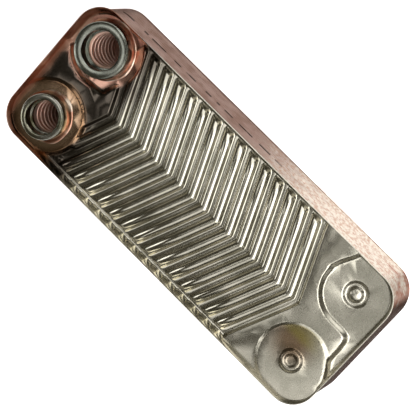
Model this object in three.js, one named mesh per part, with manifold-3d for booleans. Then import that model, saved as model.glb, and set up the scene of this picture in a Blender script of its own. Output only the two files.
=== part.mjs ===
// Brazed plate heat exchanger of the kind found in combination boilers.
// Millimetres. Origin at the middle of the flat back, +Z out of the front, +Y towards the two connections.
import * as THREE from 'three';
import { mergeVertices } from 'three/addons/utils/BufferGeometryUtils.js';
import Module from 'manifold-3d';

// Overall size, measured at the lip of the front cover
const PLATE_W = 73;
const PLATE_L = 188.6;
const CORNER_R = 14.6;
const CORNER_STEPS = 4;

// Sheet and stack
const SHEET = 0.4;
const PITCH = 2.05;
const CHANNEL_PLATES = 14;
const BACK_T = 1.2;
const JOINT_GAP = 0.04;
const FIRST_Z = BACK_T + JOINT_GAP;
const FRONT_Z = FIRST_Z + CHANNEL_PLATES * PITCH;
const PRESS = PITCH - SHEET - JOINT_GAP;

// Skirts lean outwards, so that each tray nests in the one behind it
const LEAN = Math.tan(THREE.MathUtils.degToRad(12.5));
const SKIRT_T = 0.42;
const SKIRT_H = 3.9;
const LIP_H = 6.25;
const FOOT_W = PLATE_W / 2 - LIP_H * LEAN;
const FOOT_L = PLATE_L / 2 - LIP_H * LEAN;
const FOOT_R = CORNER_R - LIP_H * LEAN;

// Ports, on a pattern of 40 x 153 mm
const PORT_X = 20;
const PORT_Y = 76.5;
const HOLE_R = 7.6;
const HOLE_STEPS = 10;
const LAND_R = 10.2;
const DOME_R = 12.6;

// Herringbone, in the plane of a plate
const RIB_PITCH = 7.62;
const RIB_SLOPE = 0.425;
const RIB_END = 33.2;
const CHANNEL_RIBS = 14;
const CHANNEL_V0 = -67;

// Front cover
const FRONT_PRESS = 1.9;
const FRONT_RIBS = 15;
const FIRST_SHOULDER = 57;
const CREST = 2.7;
const FLANK = 1.35;
const RIB_NOSE = 33.8;
const FIRST_LEFT_NOSE = 23.6;
const PAD_R = 16.6;
const PAD_RISE = 0.7;
const BOSS_RISE = 1.1;
const BIG_RECESS_R = 16.9;
const BLANK_RECESS_R = 16.2;

// Port rings and braze
const BIG_R = 12.7;
const BIG_BORE = 8.9;
const BIG_STEP = 8.1;
const BIG_TOP = 38.6;
const SMALL_R = 10.4;
const SMALL_BORE = 7.7;
const SMALL_STEP = 7.2;
const SMALL_TOP = 40.4;
const SEAT_R = 10.6;
const SEAT_BORE = 8;
const RING_STEPS = 32;

const wasm = await Module();
wasm.setup();

// A soup of triangles that becomes one closed geometry
class Skin {
  constructor() {
    this.points = [];
  }
  tri(a, b, c) {
    this.points.push(a, b, c);
  }
  quad(a, b, c, d) {
    this.tri(a, b, c);
    this.tri(a, c, d);
  }
  geometry() {
    const g = new THREE.BufferGeometry().setFromPoints(this.points);
    g.computeVertexNormals();
    return g;
  }
}

// Corner points of a rounded rectangle, anticlockwise
function outline(grow) {
  const w = FOOT_W + grow;
  const l = FOOT_L + grow;
  const r = FOOT_R + grow;
  const points = [];
  const middles = [[w - r, l - r], [r - w, l - r], [r - w, r - l], [w - r, r - l]];
  middles.forEach(([cx, cy], corner) => {
    for (let i = 0; i <= CORNER_STEPS; i++) {
      const a = (corner + i / CORNER_STEPS) * Math.PI / 2;
      points.push(new THREE.Vector2(cx + r * Math.cos(a), cy + r * Math.sin(a)));
    }
  });
  return points;
}

function circle(cx, cy, r, steps) {
  const points = [];
  for (let i = 0; i < steps; i++) {
    const a = (i + 0.5) / steps * 2 * Math.PI;
    points.push(new THREE.Vector2(cx + r * Math.cos(a), cy + r * Math.sin(a)));
  }
  return points;
}

const at = (p, z) => new THREE.Vector3(p.x, p.y, z);

// Faces between two loops with the same number of points; the loops run anticlockwise seen from outside
function band(skin, low, lowZ, high, highZ, outward) {
  low.forEach((p, i) => {
    const j = (i + 1) % low.length;
    const loop = [at(p, lowZ), at(low[j], lowZ), at(high[j], highZ), at(high[i], highZ)];
    if (!outward) loop.reverse();
    skin.quad(...loop);
  });
}

// Flat sheet between a contour and its holes: the upper face and the lower face
function floor(skin, upper, lower, holes, zUpper, zLower) {
  const faces = THREE.ShapeUtils.triangulateShape(upper.slice(), holes.map((h) => h.slice()));
  const top = upper.concat(...holes);
  const bottom = lower.concat(...holes);
  for (const [a, b, c] of faces) {
    const turn = THREE.ShapeUtils.area([top[a], top[b], top[c]]);
    const [p, q, r] = turn > 0 ? [a, b, c] : [a, c, b];
    skin.tri(at(top[p], zUpper), at(top[q], zUpper), at(top[r], zUpper));
    skin.tri(at(bottom[p], zLower), at(bottom[r], zLower), at(bottom[q], zLower));
  }
}

// Leaning skirt of a tray whose floor lies at z
function skirt(skin, z, height, grow) {
  const foot = outline(grow);
  const lip = outline(grow + height * LEAN);
  const lipIn = outline(grow + height * LEAN - SKIRT_T);
  const footIn = outline(grow + SHEET * LEAN - SKIRT_T);
  band(skin, foot, z, lip, z + height, true);
  band(skin, lip, z + height, lipIn, z + height, true);
  band(skin, footIn, z + SHEET, lipIn, z + height, false);
  return { foot, footIn };
}

// Port whose rim stands up to the pressing height, and touches the plate in front of it
function raisedPort(skin, cx, cy, z) {
  const dome = circle(cx, cy, DOME_R, HOLE_STEPS);
  const land = circle(cx, cy, LAND_R, HOLE_STEPS);
  const hole = circle(cx, cy, HOLE_R, HOLE_STEPS);
  const high = z + PRESS;
  band(skin, dome, z + SHEET, land, high + SHEET, true);
  band(skin, land, high + SHEET, hole, high + SHEET, true);
  band(skin, hole, high, hole, high + SHEET, false);
  band(skin, dome, z, land, high, false);
  band(skin, land, high, hole, high, false);
  return dome;
}

function lowPort(skin, cx, cy, z) {
  const hole = circle(cx, cy, HOLE_R, HOLE_STEPS);
  band(skin, hole, z, hole, z + SHEET, false);
  return hole;
}

// Herringbone of a channel plate: crests and valleys that run out towards both long sides.
// way is +1 when the arms rise towards +Y and -1 when they fall.
function herringbone(skin, z, way) {
  const rows = [];
  for (let j = 0; j <= 2 * CHANNEL_RIBS; j++) {
    const crest = j % 2;
    const y = way * (CHANNEL_V0 + j * RIB_PITCH / 2);
    const row = (inset, lift) => [-1, 0, 1].map((side) => {
      const x = side * (RIB_END - inset * crest);
      return new THREE.Vector3(x, y + way * RIB_SLOPE * Math.abs(x), z + lift + crest * PRESS);
    });
    rows.push({ upper: row(0, SHEET), lower: row(0.5, 0) });
  }
  if (way < 0) rows.reverse();
  for (let j = 0; j + 1 < rows.length; j++) {
    for (const i of [0, 1]) {
      const [a, b] = [rows[j].upper, rows[j + 1].upper];
      skin.quad(a[i], a[i + 1], b[i + 1], b[i]);
      const [c, d] = [rows[j].lower, rows[j + 1].lower];
      skin.quad(c[i + 1], c[i], d[i], d[i + 1]);
    }
  }
  for (let j = 0; j + 2 < rows.length; j += 2) {
    const [a, b, c] = [rows[j], rows[j + 1], rows[j + 2]];
    skin.tri(a.upper[2], c.upper[2], b.upper[2]);
    skin.tri(a.lower[2], b.lower[2], c.lower[2]);
    skin.tri(a.upper[0], b.upper[0], c.upper[0]);
    skin.tri(a.lower[0], c.lower[0], b.lower[0]);
  }
  const flat = (p) => new THREE.Vector2(p.x, p.y);
  const valleys = rows.filter((r, j) => j % 2 === 0);
  const right = valleys.map((r) => flat(r.upper[2]));
  const left = valleys.map((r) => flat(r.upper[0])).reverse();
  return [...right, flat(valleys.at(-1).upper[1]), ...left, flat(valleys[0].upper[1])];
}

// One corrugated tray of the stack: even trays seal the right-hand pair of ports, odd ones the left-hand pair
function channelPlate(k) {
  const skin = new Skin();
  const z = FIRST_Z + (k - 1) * PITCH;
  const { foot, footIn } = skirt(skin, z, SKIRT_H, 0);
  const holes = [herringbone(skin, z, k % 2 ? -1 : 1)];
  for (const sx of [1, -1]) {
    for (const sy of [1, -1]) {
      const raised = (k % 2 === 0) === (sx > 0);
      holes.push((raised ? raisedPort : lowPort)(skin, sx * PORT_X, sy * PORT_Y, z));
    }
  }
  floor(skin, footIn, foot, holes, z + SHEET, z);
  return skin.geometry();
}

// Flat end cover with the two rear ports at the blank end
function backCover() {
  const skin = new Skin();
  const grow = JOINT_GAP + SKIRT_T - FIRST_Z * LEAN;
  const height = SKIRT_H - PITCH + FIRST_Z;
  const foot = outline(grow);
  const lip = outline(grow + height * LEAN);
  const lipIn = outline(grow + height * LEAN - SKIRT_T);
  const footIn = outline(grow + BACK_T * LEAN - SKIRT_T);
  band(skin, foot, 0, lip, height, true);
  band(skin, lip, height, lipIn, height, true);
  band(skin, footIn, BACK_T, lipIn, height, false);
  const holes = [PORT_X, -PORT_X].map((x) => circle(x, -PORT_Y, SEAT_R + 0.1, RING_STEPS));
  holes.forEach((h) => band(skin, h, 0, h, BACK_T, false));
  floor(skin, footIn, foot, holes, BACK_T, 0);
  return skin.geometry();
}

// Closed geometry to a solid for joining and cutting, and back
function toSolid(geometry) {
  const bare = new THREE.BufferGeometry().setAttribute('position', geometry.getAttribute('position'));
  const merged = mergeVertices(bare, 1e-4);
  const vertProperties = merged.getAttribute('position').array;
  return new wasm.Manifold(new wasm.Mesh({ numProp: 3, vertProperties, triVerts: merged.index.array }));
}

function fromSolid(solid) {
  const mesh = solid.getMesh();
  const g = new THREE.BufferGeometry();
  g.setAttribute('position', new THREE.BufferAttribute(mesh.vertProperties, 3));
  g.setIndex(new THREE.BufferAttribute(mesh.triVerts, 1));
  const faceted = g.toNonIndexed();
  faceted.computeVertexNormals();
  return faceted;
}

// Offset of an anticlockwise polygon along its mitred normals
function grown(points, d) {
  return points.map((p, i) => {
    const before = points[(i + points.length - 1) % points.length];
    const after = points[(i + 1) % points.length];
    const u = p.clone().sub(before).normalize();
    const v = after.clone().sub(p).normalize();
    const n = new THREE.Vector2(u.y + v.y, -u.x - v.x);
    return p.clone().addScaledVector(n, d / (1 + u.dot(v)));
  });
}

// Solid between two polygons with the same number of points
function frustum(low, zLow, high, zHigh) {
  const skin = new Skin();
  band(skin, low, zLow, high, zHigh, true);
  floor(skin, high, low, [], zHigh, zLow);
  return toSolid(skin.geometry());
}

const xy = (pairs) => pairs.map(([x, y]) => new THREE.Vector2(x, y));
const SLOPE_RUN = FLANK / FRONT_PRESS;
const DEEP = FRONT_Z - 0.9;
// Raised outlines run out past the rim, where the envelope trims them
const BEYOND = 40;

// Shape raised to the height `top` over the valley level, with the press flank all round
function raised(points, top, lift) {
  const zTop = FRONT_Z + top + lift;
  return frustum(grown(points, SLOPE_RUN * (zTop - DEEP)), DEEP, points, zTop);
}

// Crest of a rib: a V whose shoulder starts at the centre line and rises towards both long sides
function ribCrest(i) {
  const y = FIRST_SHOULDER - i * RIB_PITCH;
  const angle = Math.atan(RIB_SLOPE);
  const wide = CREST * Math.cos(angle);
  const end = (nose) => {
    const tip = [nose, y + RIB_SLOPE * nose];
    return [tip, [tip[0] - wide * Math.sin(angle), tip[1] + wide * Math.cos(angle)]];
  };
  const [tip, back] = end(RIB_NOSE - FLANK);
  const [leftTip, leftBack] = end((i === 1 ? FIRST_LEFT_NOSE : RIB_NOSE) - FLANK);
  const mirror = ([x, up]) => [-x, up];
  return xy([[0, y], tip, back, [0, y + CREST], mirror(leftBack), mirror(leftTip)]);
}

function arc(cx, cy, r, from, to, steps) {
  const points = [];
  for (let i = 0; i <= steps; i++) {
    const a = THREE.MathUtils.degToRad(from + (to - from) * i / steps);
    points.push([cx + r * Math.cos(a), cy + r * Math.sin(a)]);
  }
  return points;
}

// Flat between the last rib and the blank discs, with the tongue that runs between the discs
function blankFlat() {
  const y = FIRST_SHOULDER - (FRONT_RIBS + 1) * RIB_PITCH + CREST;
  const edge = y + RIB_SLOPE * BEYOND;
  const tongue = [[-26, -100], [-22, -87.8], [2.8, -87.6], [3.4, -83.6]];
  const recess = arc(PORT_X, -PORT_Y, BLANK_RECESS_R, 180, 38, 10);
  const corners = [[BEYOND, edge], [0, y], [-BEYOND, edge], [-BEYOND, -100]];
  return xy([...corners, ...tongue, ...recess, [BEYOND, -65.8]]);
}

// Flat between the two connections, which ends at the recess of the large one
function portFlat() {
  const y = FIRST_SHOULDER;
  const recess = [[10.8, y + 4.6], [10.3, y + 5.3], [2, 64.5], [2.4, 80], [2.8, 100]];
  const besideSmall = [[-24, 70], [-22, y + RIB_SLOPE * 22]];
  return xy([...besideSmall, [0, y], ...recess, [-24, 100]]);
}

// Everything that stands above the valley level: lift is the sheet thickness for the outer face, else 0
function reliefs(lift) {
  const crest = FRONT_Z + FRONT_PRESS + lift;
  const pad = crest + PAD_RISE;
  let ribs = raised(ribCrest(1), FRONT_PRESS, lift);
  for (let i = 2; i <= FRONT_RIBS; i++) ribs = ribs.add(raised(ribCrest(i), FRONT_PRESS, lift));
  const brim = circle(PORT_X, PORT_Y, BIG_RECESS_R + SLOPE_RUN * 2, 24);
  const foot = circle(PORT_X, PORT_Y, BIG_RECESS_R - SLOPE_RUN * (crest - DEEP), 24);
  ribs = ribs.subtract(frustum(foot, DEEP - 0.01, brim, crest + 2));
  const shapes = [
    raised(blankFlat(), FRONT_PRESS, lift),
    raised(portFlat(), FRONT_PRESS, lift),
    raised(circle(-PORT_X, PORT_Y, PAD_R, 24), FRONT_PRESS + PAD_RISE, lift),
    raised(circle(-PORT_X, -PORT_Y, PAD_R, 24), FRONT_PRESS + PAD_RISE, lift),
    raised(circle(-PORT_X, -PORT_Y, 4.6, 16), FRONT_PRESS + PAD_RISE + BOSS_RISE, lift),
  ];
  const dimple = frustum(
    circle(-PORT_X, -PORT_Y, 1.8, 12), pad + 0.3, circle(-PORT_X, -PORT_Y, 3, 12), pad + BOSS_RISE + 0.4,
  );
  return shapes.reduce((sum, shape) => sum.add(shape), ribs).subtract(dimple);
}

// Sunk ring round a small dome, in the middle of the right-hand blank disc
function sunkRing(lift) {
  const z = FRONT_Z + lift;
  const pan = frustum(circle(PORT_X, -PORT_Y, 4.9, 16), z - 0.9, circle(PORT_X, -PORT_Y, 5.9, 16), z + 0.1);
  const dome = frustum(circle(PORT_X, -PORT_Y, 3.4, 12), z - 1, circle(PORT_X, -PORT_Y, 2.3, 12), z + 0.2);
  return pan.subtract(dome);
}

// The space inside the leaning skirt between two heights
function envelope(grow, zLow, zHigh) {
  const level = (z) => outline(grow + (z - FRONT_Z) * LEAN);
  return frustum(level(zLow), zLow, level(zHigh), zHigh);
}

function frontCover() {
  const skin = new Skin();
  const { foot, footIn } = skirt(skin, FRONT_Z, LIP_H, 0);
  floor(skin, footIn, foot, [], FRONT_Z + SHEET, FRONT_Z);
  const top = FRONT_Z + LIP_H;
  let cover = toSolid(skin.geometry());
  cover = cover.add(reliefs(SHEET).intersect(envelope(-0.1, FRONT_Z + 0.1, top - 0.3)));
  cover = cover.subtract(reliefs(0).intersect(envelope(-SKIRT_T - 0.1, DEEP, top - 0.5)));
  cover = cover.add(sunkRing(0)).subtract(sunkRing(SHEET));
  for (const [x, r] of [[PORT_X, BIG_STEP], [-PORT_X, SMALL_STEP]]) {
    const hole = circle(x, PORT_Y, r, 24);
    cover = cover.subtract(frustum(hole, FRONT_Z - 1, hole, top));
  }
  return fromSolid(cover);
}

// Turned ring on a connection: profile from the foot of the bore round the outside
function turned(x, y, profile) {
  const g = new THREE.LatheGeometry(profile.map(([r, z]) => new THREE.Vector2(r, z)), RING_STEPS);
  return g.rotateX(Math.PI / 2).translate(x, y, 0);
}

function portRing(x, y, foot, top, r, bore, step) {
  const z = foot + JOINT_GAP;
  return turned(x, y, [
    [step, z], [r, z], [r, top - 0.5], [r - 0.5, top],
    [bore + 0.4, top], [bore, top - 0.4], [bore, z + 1.6], [step, z + 1.6], [step, z],
  ]);
}

function brazeFillet(x, y, foot, r, wide, tall) {
  const z = foot + JOINT_GAP;
  const inner = r + 0.04;
  return turned(x, y, [
    [inner, z], [inner + wide, z], [inner + wide, z + 0.15], [inner + wide * 0.45, z + tall * 0.3],
    [inner + wide * 0.15, z + tall * 0.65], [inner + 0.1, z + tall], [inner, z + tall], [inner, z],
  ]);
}

function seatRing(x, y) {
  return turned(x, y, [
    [SEAT_BORE, 0], [SEAT_R, 0], [SEAT_R, BACK_T], [SEAT_BORE, BACK_T], [SEAT_BORE, 0],
  ]);
}

const PAD_TOP = FRONT_Z + FRONT_PRESS + PAD_RISE + SHEET;
const RECESS_TOP = FRONT_Z + SHEET;

const stainless = { color: 0x8f8b7e, roughness: 0.3, metalness: 1 };
const stained = { color: 0xa5806f, roughness: 0.5, metalness: 0.9 };
const copper = { color: 0xa6583f, roughness: 0.45, metalness: 1 };
const turnedSteel = { color: 0x6d716c, roughness: 0.35, metalness: 1 };

const exchanger = new THREE.Group();
function add(name, geometry, look) {
  const mesh = new THREE.Mesh(geometry, new THREE.MeshStandardMaterial(look));
  mesh.name = name;
  exchanger.add(mesh);
}

add('front_cover_plate', frontCover(), stainless);
for (let k = 1; k <= CHANNEL_PLATES; k++) {
  add('channel_plate_' + String(k).padStart(2, '0'), channelPlate(k), stained);
}
add('back_cover_plate', backCover(), stained);
const largeRing = portRing(PORT_X, PORT_Y, RECESS_TOP, BIG_TOP, BIG_R, BIG_BORE, BIG_STEP);
const smallRing = portRing(-PORT_X, PORT_Y, PAD_TOP, SMALL_TOP, SMALL_R, SMALL_BORE, SMALL_STEP);
add('port_ring_large', largeRing, turnedSteel);
add('port_ring_small', smallRing, turnedSteel);
add('braze_fillet_large', brazeFillet(PORT_X, PORT_Y, RECESS_TOP, BIG_R, 1.4, 1.5), copper);
add('braze_fillet_small', brazeFillet(-PORT_X, PORT_Y, PAD_TOP, SMALL_R, 1.8, 1.7), copper);
add('rear_seat_ring_right', seatRing(PORT_X, -PORT_Y), turnedSteel);
add('rear_seat_ring_left', seatRing(-PORT_X, -PORT_Y), turnedSteel);

export default exchanger;
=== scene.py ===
# %% [markdown]
# # A brazed plate heat exchanger
# This is the small water-to-water exchanger of a combination boiler. Thin stainless trays are pressed
# with a herringbone, nested into each other with copper foil between them, and brazed into one block in a
# furnace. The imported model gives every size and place. This lesson replaces its coarse plates with fine
# ones and gives each of them the finish of real pressed, brazed or turned metal.

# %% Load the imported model
import math

import bmesh
import bpy
import numpy as np
from mathutils import Matrix, Vector


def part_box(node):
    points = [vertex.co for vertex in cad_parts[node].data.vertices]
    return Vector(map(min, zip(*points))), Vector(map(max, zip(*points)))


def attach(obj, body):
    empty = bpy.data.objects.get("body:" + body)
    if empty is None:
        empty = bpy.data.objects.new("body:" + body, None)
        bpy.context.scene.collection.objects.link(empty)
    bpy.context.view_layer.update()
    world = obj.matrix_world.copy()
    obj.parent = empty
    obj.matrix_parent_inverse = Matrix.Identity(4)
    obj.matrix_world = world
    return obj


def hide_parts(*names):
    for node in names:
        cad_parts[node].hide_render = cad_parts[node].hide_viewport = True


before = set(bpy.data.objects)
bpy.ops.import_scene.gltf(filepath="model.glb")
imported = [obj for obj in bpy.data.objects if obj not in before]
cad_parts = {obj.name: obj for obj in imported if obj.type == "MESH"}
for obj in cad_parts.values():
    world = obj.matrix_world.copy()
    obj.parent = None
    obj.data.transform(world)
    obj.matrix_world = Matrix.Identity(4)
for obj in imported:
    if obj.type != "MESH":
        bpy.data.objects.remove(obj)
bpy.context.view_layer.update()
print("nodes", len(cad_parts))

# %% [markdown]
# ## Sizes
# All lengths below are millimetres, because a press tool is drawn in millimetres. The lip of the front
# cover is the widest line of the object, so the plate outline is worked back from it along the lean of
# the skirts. `LIP_R` is the corner radius at the lip, `SHEET` the thickness of a pressed floor, and
# `PRESS` how far a tray's herringbone and its raised port lands stand above its floor.

# %% Driving sizes
MM = 0.001
LEAN = math.tan(math.radians(12.5))
LIP_R = 14.6
RIM_H = 6.25
SHEET = 0.4
SKIRT_T = 0.42
SKIRT_H = 3.9
NEST_GAP = 0.04
PRESS = 1.61

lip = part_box("front_cover_plate")[1] / MM
COVER_Z = lip.z - RIM_H
FOOT_W = lip.x - RIM_H * LEAN
FOOT_L = lip.y - RIM_H * LEAN
FOOT_R = LIP_R - RIM_H * LEAN
print("foot of the cover", round(FOOT_W, 2), "by", round(FOOT_L, 2), "at height", round(COVER_Z, 2))

# %% Places of the ports, from their rings
def ring_box(node):
    low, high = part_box(node)
    middle = (low + high) / 2 / MM
    radius = (high.x - low.x) / 2 / MM
    return {"x": middle.x, "y": middle.y, "foot": low.z / MM, "top": high.z / MM, "r": radius}


LARGE = ring_box("port_ring_large")
SMALL = ring_box("port_ring_small")
BLANK_RIGHT = (LARGE["x"], -LARGE["y"])
BLANK_LEFT = (SMALL["x"], -SMALL["y"])
print("large ring", LARGE)
print("small ring", SMALL)

# %% [markdown]
# ## Tools for modelling
# Two moves make nearly everything here. A loop of edges is extruded and resized again and again, which
# turns a ring or draws a skirt, and a flat sheet is filled between its outline and its holes.

# %% A clean start for an operator
def select_none():
    bpy.ops.object.select_all(action="DESELECT")


def select_only(*pieces):
    select_none()
    for piece in pieces:
        piece.select_set(True)
    bpy.context.view_layer.objects.active = pieces[0]


# %% Loops to start from
def circle_loop(name, x, y, r, z, steps):
    select_none()
    middle = (x * MM, y * MM, z * MM)
    bpy.ops.mesh.primitive_circle_add(vertices=steps, radius=r * MM, location=middle)
    bpy.context.object.name = name
    bpy.ops.object.transform_apply()
    return bpy.context.object


def rounded_loop(name, half_w, half_l, r, z, segments=12):
    select_none()
    bpy.ops.mesh.primitive_plane_add(size=2 * MM, location=(0, 0, z * MM))
    bpy.context.object.name = name
    bpy.ops.object.transform_apply()
    bpy.ops.object.mode_set(mode="EDIT")
    bpy.ops.mesh.select_all(action="SELECT")
    bpy.ops.transform.resize(value=(half_w, half_l, 1), center_override=(0, 0, 0))
    bpy.ops.mesh.bevel(offset=r * MM, affect="VERTICES", segments=segments)
    bpy.ops.mesh.select_all(action="SELECT")
    bpy.ops.mesh.delete(type="ONLY_FACE")
    bpy.ops.object.mode_set(mode="OBJECT")
    return bpy.context.object


# %% Carry a loop along a profile of (outward, height)
def sweep(piece, profile, half_w=0, half_l=0, x=0, y=0):
    select_only(piece)
    bpy.ops.object.mode_set(mode="EDIT")
    bpy.ops.mesh.select_all(action="SELECT")
    for (out_a, z_a), (out_b, z_b) in zip(profile, profile[1:]):
        bpy.ops.mesh.extrude_edges_move(TRANSFORM_OT_translate={"value": (0, 0, (z_b - z_a) * MM)})
        factors = ((half_w + out_b) / (half_w + out_a), (half_l + out_b) / (half_l + out_a), 1)
        bpy.ops.transform.resize(value=factors, center_override=(x * MM, y * MM, 0))
    bpy.ops.object.mode_set(mode="OBJECT")
    return piece


# %% Merge, face outwards, and smooth what is round
def finish_surface(piece, angle=35):
    select_only(piece)
    bpy.ops.object.mode_set(mode="EDIT")
    bpy.ops.mesh.select_all(action="SELECT")
    bpy.ops.mesh.remove_doubles(threshold=0.002 * MM)
    bpy.ops.mesh.normals_make_consistent(inside=False)
    bpy.ops.object.mode_set(mode="OBJECT")
    bpy.ops.object.shade_smooth_by_angle(angle=math.radians(angle))
    return piece


# %% A turned ring: the circle goes all round a closed profile
def turned(name, x, y, profile, steps=96):
    r, z = profile[0]
    piece = circle_loop(name, x, y, r, z, steps)
    sweep(piece, profile + profile[:1], x=x, y=y)
    return finish_surface(piece)


# %% Join pieces and fill the open edges that lie at one height
def join(*pieces):
    select_only(*pieces)
    bpy.ops.object.join()
    return pieces[0]


def fill_level(piece, z):
    select_only(piece)
    bpy.ops.object.mode_set(mode="EDIT")
    bpy.ops.mesh.select_mode(type="EDGE")
    bpy.ops.mesh.select_all(action="DESELECT")
    mesh = bmesh.from_edit_mesh(piece.data)
    for edge in mesh.edges:
        flat = all(abs(v.co.z / MM - z) < 0.01 for v in edge.verts)
        edge.select = flat and len(edge.link_faces) < 2
    bmesh.update_edit_mesh(piece.data)
    bpy.ops.mesh.fill(use_beauty=True)
    bpy.ops.object.mode_set(mode="OBJECT")


# %% [markdown]
# ## Channel plates
# Each tray has a skirt that leans outwards and holds the foot of the tray in front of it. Molten copper
# runs into that seam and leaves a small bead on the lip, so the side of the stack is a row of soft steps
# and not of sharp sheets. In a port, every second plate has its land raised, so a port shows one bright
# ring for two plates. A tray is swept and filled as one closed sheet, and the herringbone is a folded
# grid laid into it.

# %% One tray's skirt with its bead of braze
def skirt_profile(z, height, start):
    lip_out = height * LEAN
    return [
        (0, z), (lip_out - 0.02, z + height - 0.12), (lip_out - 0.06, z + height),
        (lip_out - 0.2, z + height + 0.1), (lip_out - 0.36, z + height + 0.36),
        (lip_out - 0.45, z + height), (start, z + SHEET),
    ]


# %% A port of a tray, raised to the next plate or left low
HOLE_R = 7.6
LAND_R = 10.2
DOME_R = 12.6


def tray_port(x, y, z, raised):
    profile = [(HOLE_R, z), (HOLE_R - 0.08, z + 0.2), (HOLE_R, z + SHEET)]
    if raised:
        high = z + PRESS
        profile = [
            (DOME_R, z), (LAND_R, high),
            (HOLE_R, high), (HOLE_R - 0.16, high + 0.1),
            (HOLE_R - 0.16, high + 0.3), (HOLE_R, high + SHEET),
            (LAND_R, high + SHEET), (DOME_R, z + SHEET),
        ]
    loop = circle_loop("port", x, y, profile[0][0], z, 40)
    return sweep(loop, profile, x=x, y=y)


# %% [markdown]
# The herringbone is a grid with one row for each fold. Every second row is lifted by `PRESS`, and the
# rows are sheared to both sides of the middle by `RIB_SLOPE`. Neighbouring trays point opposite ways, as
# they do in a real stack, where the crossing ribs hold the plates apart. `FIELD_SHIFT` slides the field
# back, so that it ends clear of the ports.

# %% The herringbone of a tray
RIB_PITCH = 7.62
RIB_SLOPE = 0.425
TRAY_RIBS = 14
FIELD_W = 33.2
FIELD_SHIFT = 13.66
TRAYS = 14


def tray_herringbone(z, way):
    rows = 2 * TRAY_RIBS
    length = TRAY_RIBS * RIB_PITCH
    select_none()
    bpy.ops.mesh.primitive_grid_add(x_subdivisions=2, y_subdivisions=rows, size=2 * MM)
    field = bpy.context.object
    bpy.ops.object.mode_set(mode="EDIT")
    bpy.ops.mesh.select_all(action="SELECT")
    bpy.ops.transform.resize(value=(FIELD_W, length / 2, 1), center_override=(0, 0, 0))
    bpy.ops.object.mode_set(mode="OBJECT")
    for v in field.data.vertices:
        row = round((v.co.y / MM + length / 2) / (RIB_PITCH / 2))
        v.co.y = way * (v.co.y - FIELD_SHIFT * MM + RIB_SLOPE * abs(v.co.x))
        v.co.z = (z + SHEET / 2 + PRESS * (row % 2)) * MM
    select_only(field)
    sheet = field.modifiers.new("sheet", "SOLIDIFY")
    sheet.thickness = SHEET * MM
    sheet.offset = 0
    bpy.ops.object.modifier_apply(modifier=sheet.name)
    return field


# %% One tray
def channel_plate(number):
    node = f"channel_plate_{number:02d}"
    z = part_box(node)[0].z / MM
    start = SHEET * LEAN - SKIRT_T
    tray = rounded_loop("tray_" + node[-2:], FOOT_W, FOOT_L, FOOT_R, z)
    sweep(tray, skirt_profile(z, SKIRT_H, start), FOOT_W, FOOT_L)
    ports = []
    for x in (LARGE["x"], SMALL["x"]):
        for y in (LARGE["y"], -LARGE["y"]):
            ports.append(tray_port(x, y, z, (number % 2 == 0) == (x > 0)))
    join(tray, *ports)
    fill_level(tray, z)
    fill_level(tray, z + SHEET)
    finish_surface(tray)
    join(tray, tray_herringbone(z, 1 if number % 2 == 0 else -1))
    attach(tray, "root")
    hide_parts(node)
    return tray


trays = [channel_plate(number) for number in range(1, TRAYS + 1)]
print("trays", len(trays), "with", len(trays[0].data.polygons), "faces each")

# %% [markdown]
# ## Back cover
# The back is a thicker flat sheet with the same leaning skirt, which holds the foot of the first tray.
# Its two ports have seat rings that lie flush in it.

# %% Back cover plate
BACK_T = 1.2
SEAT_R = 10.6
SEAT_BORE = 8


def back_cover():
    out = NEST_GAP + SKIRT_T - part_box("channel_plate_01")[0].z / MM * LEAN
    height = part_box("back_cover_plate")[1].z / MM
    half_w, half_l = FOOT_W + out, FOOT_L + out
    lean = height * LEAN
    piece = rounded_loop("back_cover", half_w - 0.5, half_l - 0.5, FOOT_R, 0)
    profile = [
        (-0.5, 0), (-0.15, 0.12), (0.06, 0.45), (lean - 0.02, height - 0.12), (lean - 0.1, height),
        (lean - SKIRT_T, height - 0.02), (BACK_T * LEAN - SKIRT_T, BACK_T),
    ]
    sweep(piece, profile, half_w, half_l)
    y = -LARGE["y"]
    hole_r = SEAT_R + 0.1
    holes = []
    for x in (LARGE["x"], SMALL["x"]):
        loop = circle_loop("hole", x, y, hole_r, 0, 64)
        holes.append(sweep(loop, [(hole_r, 0), (hole_r, BACK_T)], x=x, y=y))
    join(piece, *holes)
    fill_level(piece, 0)
    fill_level(piece, BACK_T)
    return finish_surface(piece)


back = back_cover()
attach(back, "root")
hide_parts("back_cover_plate")
print("back cover", len(back.data.polygons), "faces")

# %% Rear seat rings
def seat_ring(name, node):
    box = ring_box(node)
    top = box["top"]
    profile = [
        (SEAT_BORE, 0.3), (SEAT_BORE + 0.3, 0), (SEAT_R - 0.12, 0), (SEAT_R, 0.12),
        (SEAT_R, top), (SEAT_BORE, top),
    ]
    ring = turned(name, box["x"], box["y"], profile)
    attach(ring, "root")
    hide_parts(node)
    return ring


seats = [seat_ring("seat_right", "rear_seat_ring_right"), seat_ring("seat_left", "rear_seat_ring_left")]
print("seat rings", [ring.name for ring in seats])

# %% [markdown]
# ## Front cover
# The front cover is one pressed sheet: fifteen V-shaped ribs, flats at both ends, a raised pad under the
# small port and one under the left blank disc, and a sunk recess round the large port and round the right
# blank disc. No chain of extrusions gives those soft press radii, so a fine grid is laid along the ribs,
# and its points are lifted by a formula that says how far the press tool reaches at each place.
#
# `step` climbs softly from 0 to 1. `either` is the larger of two values and `both` the smaller, each with
# its corner rounded off by `blend`, so two regions given by distances can be joined or cut without a
# crease.

# %% Press tool: soft steps and distances
def step(low, high, t):
    t = np.clip((t - low) / (high - low), 0, 1)
    return t * t * (3 - 2 * t)


def away(x, y, centre):
    return np.hypot(x - centre[0], y - centre[1])


def either(a, b, blend):
    return (a + b + np.hypot(a - b, blend)) / 2


def both(a, b, blend):
    return (a + b - np.hypot(a - b, blend)) / 2


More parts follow.
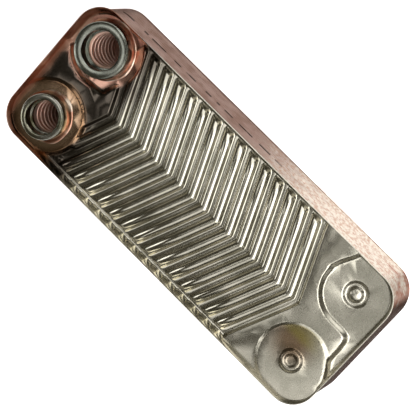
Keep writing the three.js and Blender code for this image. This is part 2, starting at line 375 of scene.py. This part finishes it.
# %% [markdown]
# A rib's section is an arc of radius `CROWN_R` for `CROWN_HALF` to each side of its middle, and then a
# straight flank that runs out into the floor. `along` straightens the V, so that all fifteen ribs are one
# row of steps of `RIB_PITCH`. The first rib is short on the left, where the pad of the small port begins.

# %% Press tool: the ribs
RIB_H = 1.9
CREST = 2.7
FLANK = 1.35
CROWN_R = 2.9
CROWN_HALF = 1.7
FLANK_SLOPE = 1.7
FOOT_BLEND = 0.3
FIRST_SHOULDER = 57
RIBS = 15
RIB_NOSE = 33.8
FIRST_LEFT_NOSE = 23.6
NOSE = 1.8
RECESS_R = 17


def along(x, y):
    return y - RIB_SLOPE * (np.sqrt(x * x + 0.5) - 0.7)


def rib_section(u):
    centre = RIB_H - CROWN_R
    crown = centre + np.sqrt(np.clip(CROWN_R**2 - u**2, 0, None))
    shoulder = centre + math.sqrt(CROWN_R**2 - CROWN_HALF**2)
    flank = shoulder - FLANK_SLOPE * (u - CROWN_HALF)
    return either(np.where(u < CROWN_HALF, crown, flank), 0, FOOT_BLEND) / RIB_H


def ribs(x, y):
    s = along(x, y)
    square = math.cos(math.atan(RIB_SLOPE))
    lift = np.zeros_like(x)
    for i in range(1, RIBS + 1):
        middle = FIRST_SHOULDER - i * RIB_PITCH + CREST / 2
        across = rib_section(np.abs(s - middle) * square)
        left_nose = FIRST_LEFT_NOSE if i == 1 else RIB_NOSE
        ends = 1 - step(RIB_NOSE - NOSE, RIB_NOSE, x)
        ends *= 1 - step(left_nose - NOSE, left_nose, -x)
        lift = np.maximum(lift, across * ends)
    outside_recess = step(RECESS_R - 0.1, RECESS_R + 1.4, away(x, y, (LARGE["x"], LARGE["y"])))
    return lift * outside_recess


# %% [markdown]
# The flats at both ends are as high as the ribs and stop at the recesses. A recess is built up from
# signed distances, each positive inside its own part: a disc round the port or the blank, a strip beside
# a straight or slanted edge, and the corner where two such strips meet.

# %% Press tool: the flats
def port_flat(x, y):
    slanted = (y - 62.3 - 0.265 * (10.3 - x)) * 0.966
    corner = both(both(x - 3.2, slanted, 1.5), 78 - y, 1.5)
    disc = RECESS_R - away(x, y, (LARGE["x"], LARGE["y"]))
    recess = either(either(disc, corner, 1), x - 10.6, 0.6)
    pocket = step(21.5, 23.5, -x) * step(0, 2, FIRST_SHOULDER + RIB_SLOPE * 22 - y)
    shoulder = step(FIRST_SHOULDER - FLANK, FIRST_SHOULDER + 0.2, along(x, y))
    return shoulder * (1 - step(-0.2, 1.9, recess)) * (1 - pocket)


def blank_flat(x, y):
    edge = FIRST_SHOULDER - (RIBS + 1) * RIB_PITCH + CREST
    disc = 16 - away(x, y, (BLANK_RIGHT[0] + 0.2, BLANK_RIGHT[1] - 0.3))
    side = both(x - 21, -61.2 - 0.44 * (x - 24) - y, 1)
    below = both(x - 4.6, -77 - y, 1)
    strip = both(x + 16, -87.3 - y, 1)
    recess = either(either(disc, side, 1), either(below, strip, 3.4), 0.8)
    shoulder = 1 - step(edge - 0.2, edge + FLANK, along(x, y))
    return shoulder * (1 - step(-0.1, 2.3, recess))


# %% [markdown]
# Two round pads stand a little above the ribs, and each reaches 2 mm further towards the corner of the
# plate. The left blank disc is slightly domed and has a boss with a dimple. The right one has a sunk ring
# round a button, and a small pip stands in the pocket beside the small port.

# %% Press tool: pads, boss, dimple, sunk ring and button
PAD_R = 16.6
PAD_RISE = 0.7


def press_height(x, y):
    height = RIB_H * np.maximum(np.maximum(ribs(x, y), port_flat(x, y)), blank_flat(x, y))
    for centre, radius in (((SMALL["x"], SMALL["y"]), PAD_R), (BLANK_LEFT, PAD_R - 0.6)):
        to_corner = step(0, 4, centre[0] - x) * step(0, 4, np.abs(y) - abs(centre[1]))
        reach = radius + 2 * to_corner
        pad = 1 - step(reach - 0.8, reach + 1.1, away(x, y, centre))
        height = height * (1 - pad) + (RIB_H + PAD_RISE) * pad
    left = away(x, y, BLANK_LEFT)
    dome = 0.3 * np.clip(1 - (left / PAD_R)**2, 0, None)
    boss = 1.1 * (1 - step(4.0, 5.9, left))
    dimple = 0.95 * (1 - step(1.9, 3.4, left))
    right = away(x, y, (BLANK_RIGHT[0] + 0.6, BLANK_RIGHT[1] - 0.6))
    sunk_ring = 1.05 * (1 - step(4.4, 6.4, right)) * step(2.2, 4.2, right)
    button = 0.5 * (1 - step(0, 3.4, right))
    pip = 0.45 * (1 - step(0.3, 1.3, away(x, y, (-30.7, 60.1))))
    return height + dome + (boss - dimple) - sunk_ring + button + pip


# %% Lay the grid along the ribs and press it
COLUMNS = 118
ROWS = 720
UNDER_RIM = 0.15
RIPPLE = 0.018


def pressed_sheet():
    half_w = FOOT_W - SKIRT_T + SHEET * LEAN + UNDER_RIM
    half_l = FOOT_L - SKIRT_T + SHEET * LEAN + UNDER_RIM
    radius = FOOT_R - 0.3
    select_none()
    bpy.ops.mesh.primitive_grid_add(x_subdivisions=COLUMNS, y_subdivisions=ROWS, size=2)
    sheet = bpy.context.object
    sheet.name = "front_cover"
    points = np.zeros(len(sheet.data.vertices) * 3)
    sheet.data.vertices.foreach_get("co", points)
    points = points.reshape(-1, 3)
    x = points[:, 0] * half_w
    length = half_l + RIB_SLOPE * half_w / 2
    y = points[:, 1] * length - RIB_SLOPE * half_w / 2 + RIB_SLOPE * np.abs(x)
    corner = np.clip(np.abs(x) - (half_w - radius), 0, radius)
    reach = half_l - radius + np.sqrt(radius**2 - corner**2)
    y = np.clip(y, -reach, reach)
    height = press_height(x, y)
    ripple = RIPPLE * np.sin(x / 6.1 + 1.3 * np.sin(y / 17)) * np.sin(y / 8.3 + 0.7)
    edge = np.minimum(half_w - np.abs(x), reach - np.abs(y))
    out = LEAN * height * (1 - step(0, 3, edge))
    grow_x = 1 + out / half_w
    grow_y = 1 + out / half_l
    pressed = np.stack([x * grow_x, y * grow_y, COVER_Z + SHEET + height + ripple], axis=1) * MM
    sheet.data.vertices.foreach_set("co", pressed.ravel())
    sheet.data.update()
    return sheet


cover = pressed_sheet()
print("pressed grid", len(cover.data.polygons), "faces")

# %% [markdown]
# The ports are cut out of the sheet under their rings, and the sheet then gets its thickness. Both of its
# sides are then thinned to a tenth of their triangles, which leaves the smallest rounds of the press a
# little angular. The rim is a second sweep: from the floor round a press radius, up the leaning wall,
# over the rounded lip and down the outside.

# %% Cut the ports
def cut_port(piece, centre, radius):
    select_only(piece)
    bpy.ops.object.mode_set(mode="EDIT")
    bpy.ops.mesh.select_mode(type="FACE")
    bpy.ops.mesh.select_all(action="DESELECT")
    mesh = bmesh.from_edit_mesh(piece.data)
    for face in mesh.faces:
        middle = face.calc_center_median() / MM
        face.select = math.hypot(middle.x - centre["x"], middle.y - centre["y"]) < radius
    bmesh.update_edit_mesh(piece.data)
    bpy.ops.mesh.delete(type="FACE")
    bpy.ops.object.mode_set(mode="OBJECT")


cut_port(cover, LARGE, 9.8)
cut_port(cover, SMALL, 8.8)
select_only(cover)
bpy.ops.object.mode_set(mode="EDIT")
bpy.ops.mesh.select_all(action="SELECT")
bpy.ops.mesh.remove_doubles(threshold=0.02 * MM)
bpy.ops.object.mode_set(mode="OBJECT")
print("open sheet", len(cover.data.polygons), "faces")

# %% Give the sheet its thickness, and thin it out
TRIANGLES_KEPT = 0.1
wall = cover.modifiers.new("sheet", "SOLIDIFY")
wall.thickness = SHEET * MM
wall.offset = -1
bpy.ops.object.modifier_apply(modifier=wall.name)
bpy.ops.object.mode_set(mode="EDIT")
bpy.ops.mesh.select_all(action="SELECT")
bpy.ops.mesh.decimate(ratio=TRIANGLES_KEPT)
bpy.ops.object.mode_set(mode="OBJECT")
finish_surface(cover, 60)
print("front sheet", len(cover.data.polygons), "faces")

# %% Rim and the two port lips
def rim():
    def outside(height):
        return height * LEAN

    def inside(height):
        return height * LEAN - SKIRT_T

    profile = [
        (-1.3, 0.2), (-1.3, SHEET + 0.01), (-0.9, SHEET + 0.05), (-0.62, 0.6), (-0.4, 0.9),
        (inside(1.4), 1.4), (inside(3.6), 3.6),
        (inside(RIM_H - 0.12), RIM_H - 0.12), (inside(RIM_H) + 0.06, RIM_H - 0.02),
        (outside(RIM_H) - 0.30, RIM_H), (outside(RIM_H) - 0.17, RIM_H - 0.04),
        (outside(RIM_H) - 0.08, RIM_H - 0.13), (outside(RIM_H) - 0.07, RIM_H - 0.35),
        (outside(3), 3), (0, 0), (-0.6, 0.02),
    ]
    profile = [(out, COVER_Z + z) for out, z in profile]
    start = profile[0]
    loop = rounded_loop("rim", FOOT_W + start[0], FOOT_L + start[0], FOOT_R + start[0], start[1], 16)
    sweep(loop, profile + profile[:1], FOOT_W, FOOT_L)
    return finish_surface(loop, 50)


def port_lip(port, bore, outer, z):
    profile = [(bore, z), (outer, z), (outer, z + SHEET), (bore, z + SHEET)]
    return turned("lip", port["x"], port["y"], profile, 64)


lips = [port_lip(LARGE, 8.1, 10.6, COVER_Z), port_lip(SMALL, 7.2, 9.8, COVER_Z + RIB_H + PAD_RISE)]
join(cover, rim(), *lips)
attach(cover, "root")
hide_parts("front_cover_plate")
print("front cover", len(cover.data.polygons), "faces")

# %% [markdown]
# ## Port rings
# The two rings are turned from bar: a flat sealing face, small chamfers, a bore, and a step at its foot.
# The larger one is wide and low, the smaller one stands higher on its pad.

# %% Turned rings
def port_ring(name, node, box, bore, foot_bore, face_in, face_out):
    z, top, r = box["foot"], box["top"], box["r"]
    profile = [
        (foot_bore, z), (r, z), (r, top - 0.62), (r - 0.06, top - 0.5), (r - face_out + 0.08, top - 0.04),
        (r - face_out, top), (bore + face_in, top), (bore + face_in - 0.1, top - 0.03),
        (bore + 0.03, top - face_in + 0.05), (bore, top - face_in - 0.05), (bore, z + 1.7),
        (bore - 0.1, z + 1.6), (foot_bore + 0.1, z + 1.6), (foot_bore, z + 1.5),
    ]
    ring = turned(name, box["x"], box["y"], profile, 128)
    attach(ring, "root")
    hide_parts(node)
    return ring


large_ring = port_ring("large_ring", "port_ring_large", LARGE, 8.9, 8.1, 0.35, 0.5)
small_ring = port_ring("small_ring", "port_ring_small", SMALL, 7.7, 7.2, 0.55, 0.4)
print("rings", len(large_ring.data.polygons), len(small_ring.data.polygons), "faces")

# %% [markdown]
# ## Braze fillets
# Copper climbs the foot of each ring and spreads over the sheet, further where the flux was thicker. The
# fillet is turned and its toe is then pulled in and out a little round the ring.

# %% Copper fillets
def fillet(name, node, ring, wide, tall, phase):
    box = ring_box(node)
    inner = ring["r"] + 0.03
    z = box["foot"]
    curve = [math.radians(a) for a in range(0, 91, 15)]
    slope = [(inner + wide * (1 - math.sin(a)), z + 0.08 + tall * (1 - math.cos(a))) for a in curve]
    piece = turned(name, box["x"], box["y"], [(inner, z), (inner + wide + 0.02, z)] + slope, 128)
    for v in piece.data.vertices:
        x, y = v.co.x / MM - box["x"], v.co.y / MM - box["y"]
        out = math.hypot(x, y) - inner
        angle = math.atan2(y, x)
        wander = 0.16 * math.sin(3 * angle + phase) + 0.09 * math.sin(7 * angle + 2 * phase)
        scale = 1 + (wander - 0.2) * max(out, 0) / math.hypot(x, y)
        v.co.x, v.co.y = (box["x"] + x * scale) * MM, (box["y"] + y * scale) * MM
    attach(piece, "root")
    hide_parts(node)
    return piece


fillets = [
    fillet("braze_large", "braze_fillet_large", LARGE, 1.5, 2.6, 0.5),
    fillet("braze_small", "braze_fillet_small", SMALL, 1.9, 3.4, 2.1),
]
print("fillets", [piece.name for piece in fillets])

# %% [markdown]
# ## Materials
# Every finish here is a metal, mixed from noise and from distances to places on the object. `linear`
# turns a hex colour to linear light, `add` makes a node with its settings and links, and the others name
# the few mixes that come back. Places and limits inside a material are in metres, as its coordinates are.

# %% Colour and node helpers
def linear(hex_colour):
    channels = [int(hex_colour[i:i + 2], 16) / 255 for i in (1, 3, 5)]
    return [c / 12.92 if c < 0.04045 else ((c + 0.055) / 1.055) ** 2.4 for c in channels] + [1]


def add(tree, kind, inputs=None, **settings):
    made = tree.nodes.new(kind)
    for name, value in settings.items():
        setattr(made, name, value)
    for name, value in (inputs or {}).items():
        if isinstance(value, bpy.types.NodeSocket):
            tree.links.new(value, made.inputs[name])
        else:
            made.inputs[name].default_value = value
    return made


def new_metal(name, roughness):
    material = bpy.data.materials.new(name)
    material.use_nodes = True
    tree = material.node_tree
    shader = tree.nodes["Principled BSDF"]
    shader.inputs["Metallic"].default_value = 1
    shader.inputs["Roughness"].default_value = roughness
    place = add(tree, "ShaderNodeTexCoord").outputs["Object"]
    return material, tree, shader, place


def soft_mask(tree, value, low, high, top=1.0):
    limits = {"Value": value, "From Min": low, "From Max": high, "To Min": 0.0, "To Max": top}
    return add(tree, "ShaderNodeMapRange", limits, interpolation_type="SMOOTHSTEP").outputs[0]


def mix_colour(tree, factor, below, above):
    inputs = {0: factor, 6: below, 7: above}
    return add(tree, "ShaderNodeMix", inputs, data_type="RGBA").outputs[2]


def math_of(tree, operation, a, b=0.0):
    return add(tree, "ShaderNodeMath", {0: a, 1: b}, operation=operation).outputs[0]


def noise_of(tree, place, size_mm, detail=3.0, stretch=(1, 1, 1)):
    scale = tuple(s / (size_mm * MM) for s in stretch)
    moved = add(tree, "ShaderNodeMapping", {"Vector": place, "Scale": scale}).outputs[0]
    return add(tree, "ShaderNodeTexNoise", {"Vector": moved, "Scale": 1.0, "Detail": detail}).outputs["Fac"]


def distance_to(tree, place, x, y):
    flat = add(tree, "ShaderNodeVectorMath", {0: place, 1: (1, 1, 0)}, operation="MULTIPLY").outputs[0]
    spot = (x * MM, y * MM, 0)
    return add(tree, "ShaderNodeVectorMath", {0: flat, 1: spot}, operation="DISTANCE").outputs["Value"]


# %% [markdown]
# ### Pressed stainless sheet
# The sheet is bright rolled 316 stainless, polished again by the press tool on the ribs. The vacuum
# furnace leaves a warm heat tint on the left blank disc, and the sheet is darker brown over the port end,
# between the ports. Copper stains the sheet round both ports and up the rim at their end.

# %% Pressed stainless
def pressed_stainless():
    material, tree, shader, place = new_metal("pressed_stainless", 0.2)
    cloud = noise_of(tree, place, 14)
    grain = noise_of(tree, place, 0.9, 4.0)
    parts = add(tree, "ShaderNodeSeparateXYZ", {0: place})
    y = parts.outputs["Y"]
    z = parts.outputs["Z"]

    clean = mix_colour(tree, soft_mask(tree, cloud, 0.35, 0.65), linear("#b9b5a6"), linear("#cfcabb"))
    # darker brown base colour over the port end, between the ports, from y = 50 mm onwards
    port_end_y = math_of(tree, "ADD", y, math_of(tree, "MULTIPLY", cloud, 0.02))
    dark_port_end = mix_colour(tree, soft_mask(tree, port_end_y, 0.050, 0.072, 0.9), clean, linear("#3a2f28"))

    to_large = distance_to(tree, place, LARGE["x"], LARGE["y"])
    to_small = distance_to(tree, place, SMALL["x"], SMALL["y"])
    ragged = math_of(tree, "MULTIPLY", math_of(tree, "SUBTRACT", cloud, 0.5), 0.006)
    near_large = soft_mask(tree, math_of(tree, "ADD", to_large, ragged), 0.0190, 0.0165)
    near_small = soft_mask(tree, math_of(tree, "ADD", to_small, ragged), 0.0185, 0.0150)
    copper = mix_colour(tree, soft_mask(tree, cloud, 0.4, 0.62), linear("#8f6152"), linear("#c49a88"))
    gold = mix_colour(tree, soft_mask(tree, to_small, 0.0125, 0.0165), linear("#c9a98c"), linear("#8c6c50"))
    colour = mix_colour(tree, near_large, dark_port_end, copper)
    colour = mix_colour(tree, near_small, colour, gold)

    rim_y = math_of(tree, "ADD", y, ragged)
    rim = soft_mask(tree, rim_y, 0.0885, 0.0925)
    above_floor = soft_mask(tree, z, 0.0334, 0.0344)
    corner = math_of(tree, "MULTIPLY", soft_mask(tree, y, 0.060, 0.085), above_floor)
    stain = math_of(tree, "MAXIMUM", rim, corner)
    red = mix_colour(tree, soft_mask(tree, cloud, 0.42, 0.6), linear("#9a6a54"), linear("#c8a08a"))
    colour = mix_colour(tree, stain, colour, red)

    to_tint = distance_to(tree, place, -12.5, -71)
    on_pad = soft_mask(tree, distance_to(tree, place, *BLANK_LEFT), 0.0163, 0.0155)
    tint = math_of(tree, "MULTIPLY", soft_mask(tree, to_tint, 0.017, 0.003, 0.9), on_pad)
    greener = soft_mask(tree, parts.outputs["X"], -0.013, -0.009)
    bronze = mix_colour(tree, greener, linear("#7c6248"), linear("#87773a"))
    colour = mix_colour(tree, tint, colour, bronze)
    tree.links.new(colour, shader.inputs["Base Color"])

    flats = soft_mask(tree, y, -0.045, -0.070, 0.12)
    skin = math_of(tree, "ADD", flats, math_of(tree, "MULTIPLY", stain, 0.3))
    skin = math_of(tree, "ADD", skin, 0.10)
    rough = math_of(tree, "ADD", skin, math_of(tree, "MULTIPLY", grain, 0.12))
    tree.links.new(rough, shader.inputs["Roughness"])
    bump = {"Height": grain, "Strength": 0.08, "Distance": 0.02 * MM}
    tree.links.new(add(tree, "ShaderNodeBump", bump).outputs[0], shader.inputs["Normal"])
    return material


# %% [markdown]
# ### Brazed skirts
# The skirts come out of the furnace matt and pink-brown from copper. They are paler towards the blank
# end, with a copper run at its corner. The end wall, which faces away and is seen edge-on, is painted
# dark brown as painted shade. A dry seam in the middle of the stack shows as a broken dark line, and the
# edges inside the ports are clean copper.

# %% Copper-stained skirts
def stained_skirts():
    material, tree, shader, place = new_metal("brazed_stainless_skirts", 0.42)
    cloud = noise_of(tree, place, 9)
    fine = noise_of(tree, place, 1.6, 4.0)
    parts = add(tree, "ShaderNodeSeparateXYZ", {0: place})
    x, y, z = (parts.outputs[axis] for axis in "XYZ")
    ragged = math_of(tree, "MULTIPLY", math_of(tree, "SUBTRACT", cloud, 0.5), 0.05)
    along_y = math_of(tree, "ADD", y, ragged)
    pink = mix_colour(tree, soft_mask(tree, cloud, 0.35, 0.65), linear("#86695d"), linear("#9c8278"))
    pale = mix_colour(tree, soft_mask(tree, fine, 0.4, 0.65), linear("#f0e6da"), linear("#d8b8a4"))
    colour = mix_colour(tree, soft_mask(tree, along_y, 0.012, -0.050), pink, pale)
    run_y = soft_mask(tree, along_y, -0.082, -0.090)
    colour = mix_colour(tree, math_of(tree, "MULTIPLY", run_y, 0.6), colour, linear("#a8583c"))
    # painted shade: the blank-end wall of the stack, facing away and seen edge-on, is painted dark brown
    painted_shade_end = soft_mask(tree, y, -0.0905, -0.0932, 0.95)
    colour = mix_colour(tree, painted_shade_end, colour, linear("#3a2820"))
    to_large = distance_to(tree, place, LARGE["x"], LARGE["y"])
    to_small = distance_to(tree, place, SMALL["x"], SMALL["y"])
    near_bore = math_of(tree, "MINIMUM", to_large, to_small)
    colour = mix_colour(tree, soft_mask(tree, near_bore, 0.0135, 0.0125), colour, linear("#eac4b2"))
    dash = noise_of(tree, place, 6.5, 1.0, (0.02, 1, 0.02))
    seam_z = math_of(tree, "ABSOLUTE", math_of(tree, "SUBTRACT", z, 0.0218))
    broken = soft_mask(tree, dash, 0.50, 0.53)
    seam = math_of(tree, "MULTIPLY", soft_mask(tree, seam_z, 0.0007, 0.0005), broken)
    to_ports = soft_mask(tree, y, -0.03, 0.0)
    on_side = math_of(tree, "MULTIPLY", soft_mask(tree, x, 0.034, 0.0345), to_ports)
    colour = mix_colour(tree, math_of(tree, "MULTIPLY", seam, on_side), colour, linear("#2a1c18"))
    tree.links.new(colour, shader.inputs["Base Color"])
    rough = math_of(tree, "ADD", 0.32, math_of(tree, "MULTIPLY", fine, 0.25))
    tree.links.new(rough, shader.inputs["Roughness"])
    bump = {"Height": fine, "Strength": 0.3, "Distance": 0.05 * MM}
    tree.links.new(add(tree, "ShaderNodeBump", bump).outputs[0], shader.inputs["Normal"])
    return material


# %% [markdown]
# ### Copper braze and turned steel
# Solid copper braze is smooth where it froze, with a dull skin in places. The rings were turned, so fine
# rings run round their axis, and the furnace left them grey-green.

# %% Copper braze
def copper_braze():
    material, tree, shader, place = new_metal("frozen_copper_braze", 0.3)
    cloud = noise_of(tree, place, 5)
    colour = mix_colour(tree, soft_mask(tree, cloud, 0.38, 0.64), linear("#b98a74"), linear("#eedcc8"))
    tree.links.new(colour, shader.inputs["Base Color"])
    rough = math_of(tree, "ADD", 0.2, math_of(tree, "MULTIPLY", noise_of(tree, place, 2.2), 0.25))
    tree.links.new(rough, shader.inputs["Roughness"])
    bump = {"Height": cloud, "Strength": 0.35, "Distance": 0.2 * MM}
    tree.links.new(add(tree, "ShaderNodeBump", bump).outputs[0], shader.inputs["Normal"])
    return material


# %% [markdown]
# The marks on the rings are drawn `TURNING_MM` apart, coarser than a real feed of about 0.1 mm, so that
# they show.

# %% Turned steel
TURNING_MM = 0.35


def turned_steel(name, x, y, tone, patina):
    material, tree, shader, place = new_metal(name, 0.3)
    radius = distance_to(tree, place, x, y)
    cloud = noise_of(tree, place, 7)
    colour = mix_colour(tree, soft_mask(tree, cloud, 0.38, 0.64), linear(tone), linear(patina))
    tree.links.new(colour, shader.inputs["Base Color"])
    waves = math_of(tree, "SINE", math_of(tree, "MULTIPLY", radius, 2 * math.pi / (TURNING_MM * MM)))
    rough = math_of(tree, "ADD", 0.12, math_of(tree, "MULTIPLY", cloud, 0.12))
    tree.links.new(rough, shader.inputs["Roughness"])
    bump = {"Height": waves, "Strength": 0.25, "Distance": 0.01 * MM}
    tree.links.new(add(tree, "ShaderNodeBump", bump).outputs[0], shader.inputs["Normal"])
    return material


# %% Give each piece its finish
def finish(piece, material):
    piece.data.materials.clear()
    piece.data.materials.append(material)


skirt_metal = stained_skirts()
braze_metal = copper_braze()
for tray in trays:
    finish(tray, skirt_metal)
finish(back, skirt_metal)
finish(cover, pressed_stainless())
large_steel = turned_steel("turned_steel_large", LARGE["x"], LARGE["y"], "#8d8f86", "#a3a59a")
finish(large_ring, large_steel)
small_steel = turned_steel("turned_steel_small", SMALL["x"], SMALL["y"], "#8a8873", "#aeaca2")
finish(small_ring, small_steel)
for ring, spot in zip(seats, (BLANK_RIGHT, BLANK_LEFT)):
    seat_steel = turned_steel("turned_steel_" + ring.name, *spot, "#80837e", "#9a9c96")
    finish(ring, seat_steel)
for piece in fillets:
    finish(piece, braze_metal)
print("materials", len(bpy.data.materials))

# %% [markdown]
# ## Floor, light and camera
# Polished metal shows what stands round it, so the lamps are laid out as panels with dark gaps between
# them, all at one height `ABOVE` the floor. Read from the camera, each kind of slope on the plate mirrors
# its own panel: the wide key lights the shoulders of the right arms that face the blank end, `panel_left`
# the crests of the left arms, `panel_blank` the flats at the blank end, `panel_right` the floors between
# the right arms near the ports, `panel_side` the rounded lip on the right, and `strip_port_end` the
# shoulders that face the ports. The flat between the ports mirrors a gap and stays dark. Two more stand
# outside: one lights the right skirts, and a low one beyond the blank end lights the wall of the rim
# behind the ports.

# %% Floor
def pale_floor():
    select_none()
    bpy.ops.mesh.primitive_plane_add(size=6, location=(0, 0, -0.0005))
    floor = bpy.context.object
    floor.name = "floor"
    material = bpy.data.materials.new("white_paper")
    material.use_nodes = True
    shader = material.node_tree.nodes["Principled BSDF"]
    shader.inputs["Base Color"].default_value = linear("#f4f4f2")
    shader.inputs["Roughness"].default_value = 0.9
    shader.inputs["Emission Color"].default_value = linear("#ffffff")
    shader.inputs["Emission Strength"].default_value = 0.95
    floor.data.materials.append(material)
    return floor


print("staged", pale_floor().name)

# %% Lights
def softbox(name, place, target, width, height, radiance, turn=0):
    light = bpy.data.lights.new(name, "AREA")
    light.shape = "RECTANGLE"
    light.size = width
    light.size_y = height
    light.energy = radiance * math.pi * width * height
    lamp = bpy.data.objects.new(name, light)
    bpy.context.scene.collection.objects.link(lamp)
    lamp.location = place
    aim = Vector(target) - Vector(place)
    lamp.rotation_euler = aim.to_track_quat("-Z", "Y").to_euler()
    lamp.rotation_euler.rotate_axis("Z", turn)
    lamp.visible_camera = False
    return lamp


ABOVE = 0.45
PANEL_TURN = -math.atan(0.4)


def overhead(name, x, y, width, height, radiance, turn=0):
    return softbox(name, (x, y, ABOVE), (x, y, 0), width, height, radiance, turn)


softbox("key_blank_end", (0.02, -0.27, ABOVE), (0, 0, 0.03), 0.40, 0.34, 3.0)
overhead("panel_left", -0.26, -0.125, 0.19, 0.29, 1.0)
overhead("panel_blank", -0.095, -0.02, 0.12, 0.07, 0.56)
overhead("panel_right", -0.052, 0.159, 0.09, 0.19, 1.5, PANEL_TURN)
overhead("panel_side", 0.21, -0.03, 0.20, 0.40, 1.7)
softbox("strip_port_end", (-0.36, 0.40, ABOVE), (0, 0, 0.03), 0.20, 0.16, 2.4)
softbox("fill_right", (0.9, 0.1, 0.35), (0.03, 0, 0.02), 0.6, 0.4, 2.0)
softbox("card_low", (-0.35, -1.2, 0.16), (0, 0.09, 0.03), 1.0, 0.22, 1.6)

print("lamps", len(bpy.data.lights))

# %% A dim warm room round the lamps
world = bpy.data.worlds.new("studio")
bpy.context.scene.world = world
world.use_nodes = True
room = world.node_tree.nodes["Background"]
room.inputs["Color"].default_value = linear("#d8cfb4")
room.inputs["Strength"].default_value = 0.10
bpy.context.scene.view_settings.view_transform = "Standard"

# %% [markdown]
# The camera looks down on the plate through a long lens, turned so that the plate lies across the frame.
# `TURNS` turns the object into the camera's view, in radians, and `STAND_OFF` is where the middle of the
# lip then lies, in millimetres.

# %% Camera
TURNS = {"X": 0.1029, "Y": -0.3247, "Z": 0.8281}
STAND_OFF = (-6.54, 2.27, -945.97)
LENS = 186.9


def place_camera():
    about_x, about_y, about_z = (Matrix.Rotation(angle, 4, axis) for axis, angle in TURNS.items())
    tilt = about_x @ about_y @ about_z
    offset = Vector(STAND_OFF)
    data = bpy.data.cameras.new("camera")
    data.sensor_width = 36
    data.lens = LENS
    data.clip_start = 0.01
    camera = bpy.data.objects.new("camera", data)
    bpy.context.scene.collection.objects.link(camera)
    turn = tilt.transposed()
    spot = -(turn.to_3x3() @ offset) + Vector((0, 0, lip.z))
    camera.matrix_world = Matrix.Translation(spot * MM) @ turn
    bpy.context.scene.camera = camera
    return camera


print("camera at", [round(v, 3) for v in place_camera().location])
